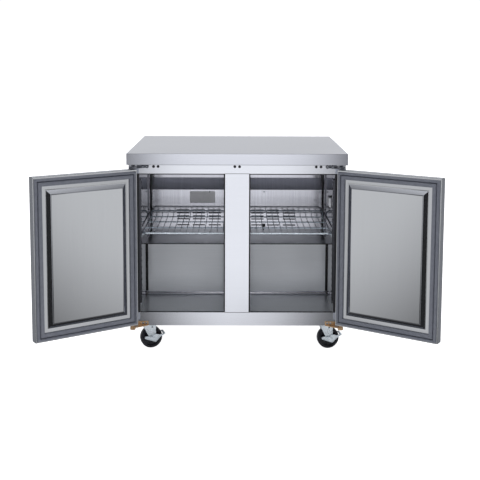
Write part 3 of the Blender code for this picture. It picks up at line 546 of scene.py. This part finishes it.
# ---------------------------------------------------------------- casters
def make_caster(word, brake):
    """Pressed fork with ribs, moulded wheel with a dished spoked web, plate bolts and the brake pedal."""
    swivel = joints[f"caster_{word}_swivel"]
    spin = joints[f"wheel_{word}_spin"]
    kingpin = Vector(swivel["pos_m"])
    hub = Vector(spin["pos_m"])
    trail = (hub - kingpin)
    trail.z = 0.0
    turn = math.atan2(trail.y, trail.x)
    reach = trail.length
    radius = hub.z
    at_kingpin = Matrix.Translation((kingpin.x, kingpin.y, 0.0)) @ Matrix.Rotation(turn, 4, "Z")
    at_axle = Matrix.Translation(hub) @ Matrix.Rotation(turn, 4, "Z")

    half = 0.0150
    bm = bmesh.new()
    side_profile = [(0.0057, half), (0.0115, half), (0.0125, half - 0.0006), (0.0135, half - 0.0030),
                    (0.0150, 0.0075), (0.0300, 0.0068), (0.0335, 0.0082), (0.0350, 0.0125),
                    (0.0362, 0.0138), (0.0372, 0.0133), (0.0382, 0.0140), (0.0440, 0.0146),
                    (0.0462, 0.0134),
                    (radius - 0.0004, 0.0108), (radius, 0.0080)]
    profile = side_profile + [(r, -h) for r, h in reversed(side_profile)]
    add_turned(bm, profile, at_axle @ FACING_BACK, 72)
    wheel = piece(f"wheel_moulding_{word}", bm, TYRE, f"wheel_{word}", 30)
    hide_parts(f"caster_{word}_wheel")

    bm = bmesh.new()
    spokes = 6
    first_spoke = 0.26
    for face in (-1, 1):
        for i in range(spokes):
            angle = 2 * math.pi * i / spokes + first_spoke
            spoke = bmesh.new()
            add_block(spoke, (0.0140, -0.0016, 0.0060), (0.0345, 0.0016, 0.0106), 0.0007, 2)
            lean = Matrix.Rotation(angle, 4, "Z")
            flip = Matrix.Rotation(math.pi if face < 0 else 0.0, 4, "X")
            bmesh.ops.transform(spoke, matrix=at_axle @ FACING_BACK @ flip @ lean, verts=spoke.verts)
            add_mesh(bm, spoke)
    piece(f"wheel_spokes_{word}", bm, TYRE, f"wheel_{word}")

    make_fork(word, at_kingpin, reach, radius)
    make_plate_bolts(word, at_kingpin, turn)
    if brake:
        make_pedal(word, at_axle)


def leg_outline(reach, radius):
    """(x, z) outline of a fork leg: raked leading edge, upright trailing edge, round at the axle."""
    top = 0.1090
    points = [(-0.0285, top), (0.0295, top), (0.0295, radius + 0.0200), (0.0285, radius + 0.0160)]
    for i in range(13):
        angle = math.radians(15 - i * 17.5)
        points.append((reach + 0.0135 * math.cos(angle), radius + 0.0135 * math.sin(angle)))
    return points


def make_fork(word, at_kingpin, reach, radius):
    """Crown, nut, two ribbed legs and the axle of one fork, with a dark patch of painted shade for the slot
    in each leg.
    """
    bm = bmesh.new()
    crown = [(0.0, 0.1046), (0.0255, 0.1046), (0.0290, 0.1058), (0.0300, 0.1080),
             (0.0285, 0.1102), (0.0120, 0.1110), (0.0, 0.1112)]
    add_turned(bm, crown, at_kingpin, 40)
    nut = [(0.0, 0.0985), (0.0080, 0.0985), (0.0080, 0.1050), (0.0, 0.1050)]
    add_turned(bm, nut, at_kingpin, 6)
    outline = leg_outline(reach, radius)
    centre = Vector((sum(x for x, z in outline) / len(outline), sum(z for x, z in outline) / len(outline)))
    for sign in (-1, 1):
        inner, outer = sign * 0.0176, sign * 0.0204
        lip = sign * 0.0218
        layers = ((1.0, inner), (1.0, lip), (0.955, lip), (0.90, outer))
        rings = []
        for scale, y in layers:
            ring = []
            for x, z in outline:
                flat = centre + (Vector((x, z)) - centre) * scale
                ring.append(at_kingpin @ Vector((flat.x, y, flat.y)))
            rings.append(ring)
        add_capped_strip(bm, rings)
        # pressed rib down the middle of the leg
        rib = [(0.006, 0.104), (0.020, 0.104), (0.019, radius + 0.018), (0.010, radius + 0.016)]
        base, crest = sign * 0.0202, sign * 0.0216
        rings = []
        for grow, y in ((1.0, base), (0.82, crest)):
            mid = Vector((0.0138, 0.085))
            ring = []
            for x, z in rib:
                flat = mid + (Vector((x, z)) - mid) * grow
                ring.append(at_kingpin @ Vector((flat.x, y, flat.y)))
            rings.append(ring)
        add_capped_strip(bm, rings)
    axle = [(0.0, -0.0242), (0.0050, -0.0242), (0.0050, 0.0242), (0.0, 0.0242)]
    at_axle = at_kingpin @ Matrix.Translation((reach, 0, radius))
    add_turned(bm, axle, at_axle @ FACING_BACK, 24)
    for start, end in ((-0.0285, -0.0238), (0.0238, 0.0285)):
        head = [(0.0, start), (0.0080, start), (0.0086, (start + end) / 2), (0.0080, end), (0.0, end)]
        add_turned(bm, head, at_axle @ FACING_BACK, 6)
    fork = piece(f"fork_pressing_{word}", bm, ZINC, f"caster_{word}", 30)
    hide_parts(f"caster_{word}_fork")

    # dark blocks on the legs stand for the shade inside the slots: painted shade
    bm = bmesh.new()
    slot_low, slot_high = (0.0100, 0.0940), (0.0170, 0.0985)
    for sign in (-1, 1):
        near = (slot_low[0], sign * 0.0212, slot_low[1])
        add_block(bm, near, (slot_high[0], sign * 0.0219, slot_high[1]), 0.0003, 1)
    bmesh.ops.transform(bm, matrix=at_kingpin, verts=bm.verts)
    piece(f"fork_slot_shade_{word}", bm, SHADE_BLACK, f"caster_{word}")


def make_plate_bolts(word, at_kingpin, turn):
    """Four hex heads under the mounting plate."""
    square = at_kingpin @ Matrix.Rotation(-turn, 4, "Z")
    bm = bmesh.new()
    for x in (-0.037, 0.037):
        for y in (-0.028, 0.028):
            head = [(0.0, 0.1160), (0.0052, 0.1160), (0.0058, 0.1168), (0.0058, 0.1211), (0.0, 0.1211)]
            add_turned(bm, head, square @ Matrix.Translation((x, y, 0.0)), 6)
    piece(f"plate_bolts_{word}", bm, SCREW_STEEL, "cabinet")


def make_pedal(word, at_axle):
    """Brake pedal: two pressed cheeks with round bosses, joined by a ribbed foot tread."""
    outline = [(-0.0335, 0.0035), (-0.0280, 0.0090), (-0.0120, 0.0070), (0.0040, 0.0095), (0.0110, 0.0155),
               (0.0210, 0.0160), (0.0330, 0.0120), (0.0575, 0.0178), (0.0578, 0.0150), (0.0350, 0.0005),
               (0.0165, -0.0185), (0.0105, -0.0178), (-0.0100, -0.0098), (-0.0315, -0.0018)]
    centre = Vector((0.010, 0.0))
    bm = bmesh.new()
    for sign in (-1, 1):
        rings = []
        for scale, offset in ((1.0, 0.0213), (1.0, 0.0250), (0.93, 0.0250), (0.88, 0.0229)):
            y = sign * offset
            ring = []
            for x, z in outline:
                flat = centre + (Vector((x, z)) - centre) * scale
                ring.append(at_axle @ Vector((flat.x, y, flat.y)))
            rings.append(ring)
        add_capped_strip(bm, rings)
        boss = [(0.0, 0.0215), (0.0105, 0.0215), (0.0098, 0.0240), (0.0, 0.0240)]
        flip = FACING_BACK if sign > 0 else FACING_FRONT
        add_turned(bm, boss, at_axle @ flip, 24)
    tread = bmesh.new()
    add_block(tread, (0.0505, -0.0228, 0.0118), (0.0588, 0.0228, 0.0172), 0.0012, 3)
    for i in range(5):
        y = -0.016 + i * 0.008
        add_block(tread, (0.0512, y - 0.0012, 0.0168), (0.0582, y + 0.0012, 0.0180), 0.0004, 1)
    bmesh.ops.transform(tread, matrix=at_axle, verts=tread.verts)
    add_mesh(bm, tread)
    pedal = piece(f"brake_pressing_{word}", bm, ZINC, f"brake_{word}", 30)
    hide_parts(f"caster_{word}_pedal")


# ---------------------------------------------------------------- cabinet details
TOP_SCREWS = (-0.398, -0.3805, 0.381, 0.403)      # on the upper hinge leaves and their inner edges
BOTTOM_SCREWS = (-0.4025, -0.3890, 0.3890, 0.4025)    # on the lower hinge leaves
BOTTOM_SCREW_Z = 0.1355
RAIL_PLUGS = (-0.353, -0.334, -0.010, 0.010, 0.334, 0.354)    # blanked holes for the other hand
LEAF_FACE_Y = FACE_Y - 0.0030                     # front of the hinge leaves


def make_face_details():
    """Screws on the hinges with dark rings of painted shadow round the upper ones, blanking plugs on the
    top rail and caps under the pins.
    """
    bm = bmesh.new()
    for x in TOP_SCREWS:
        add_screw(bm, (x, LEAF_FACE_Y, FACE_SCREW_Z), FACING_FRONT, 0.0056)
    for x in BOTTOM_SCREWS:
        add_screw(bm, (x, LEAF_FACE_Y, BOTTOM_SCREW_Z), FACING_FRONT, 0.0046)
    piece("hinge_screws", bm, SCREW_STEEL, "cabinet")

    # dark rings round the upper screws: painted shadow
    bm = bmesh.new()
    shadow_ring = [(0.0, 0.0), (0.0072, 0.0), (0.0070, 0.0006), (0.0, 0.0008)]
    for x in TOP_SCREWS:
        add_turned(bm, shadow_ring, Matrix.Translation((x, FACE_Y - 0.0028, FACE_SCREW_Z)) @ FACING_FRONT, 24)
    piece("screw_shadow_rings", bm, SHADE_BLACK, "cabinet")

    bm = bmesh.new()
    button = [(0.0, 0.0), (0.0060, 0.0), (0.0058, 0.0010), (0.0044, 0.0016), (0.0, 0.0018)]
    for x in RAIL_PLUGS:
        add_turned(bm, button, Matrix.Translation((x, FACE_Y, FACE_SCREW_Z)) @ FACING_FRONT, 20)
    piece("rail_plugs", bm, BREAKER, "cabinet")

    # rounded caps under the pins of the lower hinges
    bm = bmesh.new()
    cap = [(0.0, 0.1222), (0.0085, 0.1222), (0.0105, 0.1232), (0.0105, 0.1261), (0.0, 0.1261)]
    for _, word in SIDES:
        pin = joints[f"door_{word}_hinge"]["pos_m"]
        add_turned(bm, cap, Matrix.Translation((pin[0], pin[1], 0.0)), 28)
    piece("hinge_pin_caps", bm, BREAKER, "cabinet")


def make_breakers_and_shade_lines():
    """Black breaker strips between the cold liner and the outer steel, which also carry painted shade
    lines, dark strips of painted shadow at the joints, and the overhang's sheet.
    """
    depth = 0.0012
    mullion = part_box("center_mullion")[1].x
    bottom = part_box("bottom_rail")[1].z
    # real breaker strips, drawn black and wide beside the mullion, under the top rail and at the floor's
    # front edge to carry painted shade lines too
    bm = bmesh.new()
    for side, wall in ((-1, LINER_LEFT), (1, LINER_RIGHT)):
        inner = (wall - side * 0.0005, FACE_Y - depth, bottom)
        add_block(bm, inner, (side * STILE_EDGE, FACE_Y + 0.0004, RAIL_LOW), 0.0004, 1)
        near, far = sorted((side * (mullion + 0.0003), side * (mullion + 0.0048)))
        low = (near, FACE_Y + 0.0030, bottom + 0.001)
        add_block(bm, low, (far, FACE_Y + 0.0200, RAIL_LOW - 0.001), 0.0010, 2)
    low = (LINER_LEFT, FACE_Y + 0.0006, RAIL_LOW - 0.0042)
    add_block(bm, low, (LINER_RIGHT, FACE_Y + 0.0160, RAIL_LOW - 0.0002), 0.0010, 2)
    low = (LINER_LEFT + 0.001, FACE_Y + 0.0020, FLOOR_Z + 0.0001)
    add_block(bm, low, (LINER_RIGHT - 0.001, FACE_Y + 0.0190, FLOOR_Z + 0.0012), 0.0004, 1)
    piece("breaker_and_shade_strips", bm, BREAKER, "cabinet")

    # dark strip under the worktop's front edge: painted shadow line
    bm = bmesh.new()
    add_block(bm, (-DOOR_OUTER_EDGE + 0.004, FACE_Y - 0.0008, RAIL_HIGH - 0.0016),
              (DOOR_OUTER_EDGE - 0.004, FACE_Y + 0.0004, RAIL_HIGH - 0.0001), 0.0003, 1)
    piece("worktop_joint_shadow", bm, SHADE_BLACK, "cabinet")

    # folded sheet that closes the overhang of the worktop from below
    core_low, core_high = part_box("worktop_core")
    bm = bmesh.new()
    low = (core_low.x, core_low.y, core_low.z - 0.0006)
    add_block(bm, low, (core_high.x, FACE_Y - 0.0006, core_low.z - 0.0001), 0.0002, 1)
    piece("worktop_underside", bm, FRONT_STEEL, "cabinet")

    # painted shadow lines where the mullion meets the rails, and along its two long edges
    mullion_low, mullion_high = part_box("center_mullion")
    front = mullion_low.y
    bm = bmesh.new()
    for z in (bottom, RAIL_LOW):
        low = (mullion_low.x, front - 0.0006, z - 0.0009)
        add_block(bm, low, (mullion_high.x, front + 0.0006, z + 0.0009), 0.0003, 1)
    for x in (mullion_low.x, mullion_high.x):
        low = (x - 0.0008, front - 0.0006, bottom)
        add_block(bm, low, (x + 0.0008, front + 0.0006, RAIL_LOW), 0.0003, 1)
    piece("mullion_edge_shadows", bm, SHADE_BLACK, "cabinet")


def make_inside_details():
    """Blank plate, sensor clip, thermometer, dark lines of painted shade at the bulkhead's corners and top
    edge, and the cove at the bulkhead's foot.
    """
    cover_y = COVER_LOW.y
    bm = bmesh.new()
    plate_low, plate_high, corner = (-0.225, 0.5760), (-0.104, 0.6320), 0.0050
    outline = []
    left, right = plate_low[0] + corner, plate_high[0] - corner
    low, high = plate_low[1] + corner, plate_high[1] - corner
    for x, z, start in ((right, high, 0), (left, high, 90), (left, low, 180), (right, low, 270)):
        outline += arc((x, 0, z), corner, start, start + 90, 5, (1, 0, 0), (0, 0, 1))
    rings = [[point + Vector((0, y, 0)) for point in outline] for y in (cover_y - 0.0001, cover_y - 0.0010)]
    add_capped_strip(bm, rings)
    piece("rating_plate", bm, PLATE_GREY, "cabinet")

    bm = bmesh.new()
    add_block(bm, (0.1185, cover_y - 0.0120, 0.4630), (0.1365, cover_y - 0.0003, 0.4740), 0.0015, 3)
    lead = [(0.1275, cover_y - 0.006, 0.464), (0.1278, cover_y - 0.009, 0.455),
            (0.1290, cover_y - 0.006, 0.4460)]
    add_tube(bm, lead, 0.0022, 10)
    piece("sensor_clip", bm, BLACK_PLASTIC, "cabinet")

    bm = bmesh.new()
    wall = LINER_RIGHT
    outer = (wall - 0.0002, FACE_Y + 0.120, 0.6200)
    add_block(bm, outer, (wall - 0.0110, FACE_Y + 0.190, 0.6620), 0.0030, 3)
    piece("thermometer_case", bm, WHITE_PLASTIC, "cabinet")
    bm = bmesh.new()
    outer = (wall - 0.0108, FACE_Y + 0.128, 0.6320)
    add_block(bm, outer, (wall - 0.0118, FACE_Y + 0.182, 0.6560), 0.0004, 1)
    piece("thermometer_window", bm, PLATE_GREY, "cabinet")

    bm = bmesh.new()
    foot = BULKHEAD_LOW.y
    low = (LINER_LEFT + 0.001, foot - 0.0140, FLOOR_Z + 0.0002)
    add_block(bm, low, (LINER_RIGHT - 0.001, foot - 0.0002, FLOOR_Z + 0.0150), 0.0060, 5)
    piece("bulkhead_cove", bm, COVER_STEEL, "cabinet")

    # dark strips in the corners beside the bulkhead and along its top edge: painted shade
    bm = bmesh.new()
    width = 0.006
    for side, wall in ((-1, LINER_LEFT), (1, LINER_RIGHT)):
        near, far = wall - side * 0.0003, wall - side * width
        low = (near, foot - 0.0016, FLOOR_Z + 0.016)
        add_block(bm, low, (far, foot - 0.0002, BULKHEAD_HIGH.z - 0.001), 0.0003, 1)
    edge = BULKHEAD_HIGH.z
    low = (LINER_LEFT + 0.001, foot - 0.0018, edge - 0.0040)
    add_block(bm, low, (LINER_RIGHT - 0.001, foot - 0.0002, edge), 0.0004, 1)
    piece("bulkhead_edge_shade", bm, SHADE_BLACK, "cabinet")

    bm = bmesh.new()
    for x in (-0.395, -0.13, 0.13, 0.395):
        add_screw(bm, (x, cover_y, 0.4320), FACING_FRONT, 0.0038)
        add_screw(bm, (x, cover_y, 0.6300), FACING_FRONT, 0.0038)
    piece("cover_screws", bm, SCREW_STEEL, "cabinet")


def make_rear_details():
    """Screws on the back and the refrigerant lines with the condenser's return bends."""
    bm = bmesh.new()
    for x in (-0.44, -0.15, 0.15, 0.44):
        for z in (0.140, 0.366):
            add_screw(bm, (x, REAR_Y, z), FACING_BACK, 0.0042)
    for x in (-0.43, 0.0, 0.43):
        for z in (0.395, 0.610, 0.815):
            add_screw(bm, (x, REAR_Y, z), FACING_BACK, 0.0042)
    piece("rear_screws", bm, SCREW_STEEL, "cabinet")

    low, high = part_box("compressor")
    coil_low, coil_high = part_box("condenser_coil")
    bm = bmesh.new()
    start = ((low.x + high.x) / 2, low.y + 0.020, 0.300)
    line = [start, (start[0], start[1], 0.322)]
    line += [(start[0] + 0.02, start[1] - 0.012, 0.336), (start[0] + 0.08, start[1] - 0.02, 0.338)]
    line += [(coil_low.x - 0.05, coil_low.y + 0.03, 0.335), (coil_low.x + 0.002, coil_low.y + 0.025, 0.330)]
    add_tube(bm, smooth_path(line, 30), 0.0040, 12)
    bends = 8
    step = (coil_high.z - coil_low.z - 0.04) / bends
    middle = (coil_low.y + coil_high.y) / 2
    for i in range(bends):
        z = coil_low.z + 0.02 + i * step + step / 2
        for x, u in ((coil_low.x + 0.001, (-1, 0, 0)), (coil_high.x - 0.001, (1, 0, 0))):
            add_tube(bm, arc((x, middle, z), step / 2, -90, 90, 8, u, (0, 0, 1)), 0.0040, 10)
    piece("refrigerant_lines", bm, COPPER, "cabinet")


def smooth_path(points, count):
    """Catmull-Rom curve through the points."""
    points = [Vector(point) for point in points]
    padded = [points[0] * 2 - points[1]] + points + [points[-1] * 2 - points[-2]]
    result = []
    spans = len(points) - 1
    for i in range(count + 1):
        t = spans * i / count
        k = min(int(t), spans - 1)
        f = t - k
        a, b, c, d = padded[k:k + 4]
        result.append(0.5 * ((2 * b) + (c - a) * f + (2 * a - 5 * b + 4 * c - d) * f * f
                             + (3 * b - a - 3 * c + d) * f * f * f))
    return result


for side, word in SIDES:
    make_door_pieces(side, word)
    make_shelf(side, word)
    make_caster(f"front_{word}", True)
    make_caster(f"rear_{word}", False)
    for name in (f"top_hinge_{word}", f"bottom_hinge_{word}"):
        soften(nodes[name], 0.0005)
    soften(nodes[f"side_panel_{word}"], 0.0012)
    soften(nodes[f"door_{word}_pan"], 0.0008)
make_face_details()
make_breakers_and_shade_lines()
make_inside_details()
make_rear_details()
soften(nodes["worktop"], 0.0030, 4)
for name in ("top_rail", "bottom_rail", "center_mullion"):
    soften(nodes[name], 0.0006)


# ---------------------------------------------------------------- stage, light and camera
def make_stage():
    """Wide pale floor, out of sight for reflections."""
    bm = bmesh.new()
    bmesh.ops.create_grid(bm, x_segments=1, y_segments=1, size=40.0)
    mesh = bpy.data.meshes.new("floor")
    bm.to_mesh(mesh)
    bm.free()
    floor = bpy.data.objects.new("floor", mesh)
    bpy.context.scene.collection.objects.link(floor)
    floor.location = (0, 0, -0.0005)
    material, _, _, shader = new_material("floor_white")
    shader.inputs["Base Color"].default_value = (0.80, 0.80, 0.81, 1.0)
    shader.inputs["Roughness"].default_value = 0.9
    shader.inputs["Specular IOR Level"].default_value = 0.1
    shader.inputs["Emission Color"].default_value = (1.0, 1.0, 1.0, 1.0)
    shader.inputs["Emission Strength"].default_value = FLOOR_GLOW
    mesh.materials.append(material)
    floor.visible_glossy = False


def area_light(name, place, target, size, power):
    """White rectangular light aimed at a point and hidden from the camera."""
    data = bpy.data.lights.new(name, "AREA")
    data.shape = "RECTANGLE"
    data.size, data.size_y = size
    data.energy = power
    light = bpy.data.objects.new(name, data)
    bpy.context.scene.collection.objects.link(light)
    light.location = place
    light.rotation_euler = (Vector(target) - Vector(place)).to_track_quat("-Z", "Y").to_euler()
    light.visible_camera = False


def maths(tree, operation, *values):
    """One arithmetic node, fed by sockets or plain numbers."""
    node = tree.nodes.new("ShaderNodeMath")
    node.operation = operation
    for socket, value in zip(node.inputs, values):
        if isinstance(value, (int, float)):
            socket.default_value = value
        else:
            tree.links.new(value, socket)
    return node.outputs[0]


def soft_box(tree, turn, height, box):
    """An oval patch of light in the sky: full strength in its core, fading out smoothly to its edge."""
    (azimuth, half_width), (rise, half_height), core, fade, strength = box
    across = maths(tree, "DIVIDE", maths(tree, "SUBTRACT", turn, azimuth), half_width)
    along = maths(tree, "DIVIDE", maths(tree, "SUBTRACT", height, rise), half_height)
    square = maths(tree, "ADD", maths(tree, "POWER", across, 2), maths(tree, "POWER", along, 2))
    fall = tree.nodes.new("ShaderNodeMapRange")
    fall.interpolation_type = "SMOOTHSTEP"
    fall.inputs["From Min"].default_value = fade
    fall.inputs["From Max"].default_value = core
    fall.inputs["To Max"].default_value = strength
    tree.links.new(maths(tree, "SQRT", square), fall.inputs["Value"])
    return fall.outputs["Result"]


def make_world():
    """Studio of soft boxes in a dim room: azimuth 0 is straight in front, in degrees, and 180 behind."""
    world = bpy.data.worlds.new("studio")
    bpy.context.scene.world = world
    world.use_nodes = True
    tree = world.node_tree
    direction = tree.nodes.new("ShaderNodeTexCoord")
    parts = tree.nodes.new("ShaderNodeSeparateXYZ")
    tree.links.new(direction.outputs["Generated"], parts.inputs["Vector"])
    forward = maths(tree, "MULTIPLY", parts.outputs["Y"], -1)
    azimuth = maths(tree, "ARCTAN2", parts.outputs["X"], forward)
    turn = maths(tree, "ABSOLUTE", maths(tree, "MULTIPLY", azimuth, 180 / math.pi))
    height = maths(tree, "MULTIPLY", maths(tree, "ARCSINE", parts.outputs["Z"]), 180 / math.pi)
    total = ROOM_LIGHT
    for box in SOFT_BOXES:
        total = maths(tree, "ADD", soft_box(tree, turn, height, box), total)

    background = tree.nodes["Background"]
    background.inputs["Color"].default_value = (0.95, 0.965, 1.0, 1.0)
    tree.links.new(total, background.inputs["Strength"])
    seen = tree.nodes.new("ShaderNodeBackground")
    seen.inputs["Color"].default_value = (1, 1, 1, 1)
    seen.inputs["Strength"].default_value = BACKDROP_GLOW
    path = tree.nodes.new("ShaderNodeLightPath")
    mix = tree.nodes.new("ShaderNodeMixShader")
    tree.links.new(path.outputs["Is Camera Ray"], mix.inputs["Fac"])
    tree.links.new(background.outputs["Background"], mix.inputs[1])
    tree.links.new(seen.outputs["Background"], mix.inputs[2])
    tree.links.new(mix.outputs["Shader"], tree.nodes["World Output"].inputs["Surface"])


def make_camera():
    """Straight on, a little above the worktop, with the lens shifted down to the object."""
    data = bpy.data.cameras.new("camera")
    data.sensor_width = 36.0
    data.lens = FOCAL_LENGTH
    data.shift_y = LENS_SHIFT
    camera = bpy.data.objects.new("camera", data)
    bpy.context.scene.collection.objects.link(camera)
    camera.location = CAMERA_PLACE
    pitch, yaw, roll = (math.radians(degrees) for degrees in CAMERA_TURN)
    turned = Matrix.Rotation(yaw, 3, "Z") @ Matrix.Rotation(math.pi / 2 - pitch, 3, "X")
    camera.rotation_euler = (turned @ Matrix.Rotation(roll, 3, "Z")).to_euler()
    bpy.context.scene.camera = camera


CAMERA_PLACE = (-0.006, FACE_Y - 3.703, 1.312)
CAMERA_TURN = (6.18, -0.27, 0.20)                 # pitch down, yaw and roll, in degrees
FOCAL_LENGTH = 66.35                              # millimetres, on a 36 mm sensor
LENS_SHIFT = -0.2
BACKDROP_GLOW = 1.05                              # what the camera itself sees behind the object
FLOOR_GLOW = 0.97
ROOM_LIGHT = 0.035
# (azimuth, half width), (height, half height), share of the radius with full light, fade end, strength
SOFT_BOXES = (
    ((0, 6.8), (-3, 19), 0.60, 1.30, 1.03),         # tall oval box round the camera
    ((68, 34), (6, 34), 0.55, 1.15, 0.62),          # a wide box on each side
    ((180, 30), (8, 16), 0.30, 1.20, 0.62),         # backdrop behind the object
    ((0, 2000), (78, 36), 0.60, 1.00, 1.5),         # overhead
    ((26, 13), (-6, 30), 0.50, 1.10, 0.35),         # fill between the camera and the side boxes
    ((125, 38), (0, 30), 0.50, 1.15, 0.28),         # rear quarters, for the side panels
    ((180, 50), (-22, 14), 0.50, 1.05, 0.50),       # low behind, for the back
    ((0, 2000), (-48, 20), 0.40, 1.00, 0.18),       # light coming up from the floor
)
make_stage()
make_world()
area_light("overhead", (0.0, -1.2, 3.0), (0, -0.2, 0.3), (1.6, 1.2), 8)
area_light("inside_fill", (0.0, -3.0, 0.95), (0, 0.2, 0.32), (1.2, 0.7), 1.2)
make_camera()
bpy.context.scene.view_settings.view_transform = "Standard"
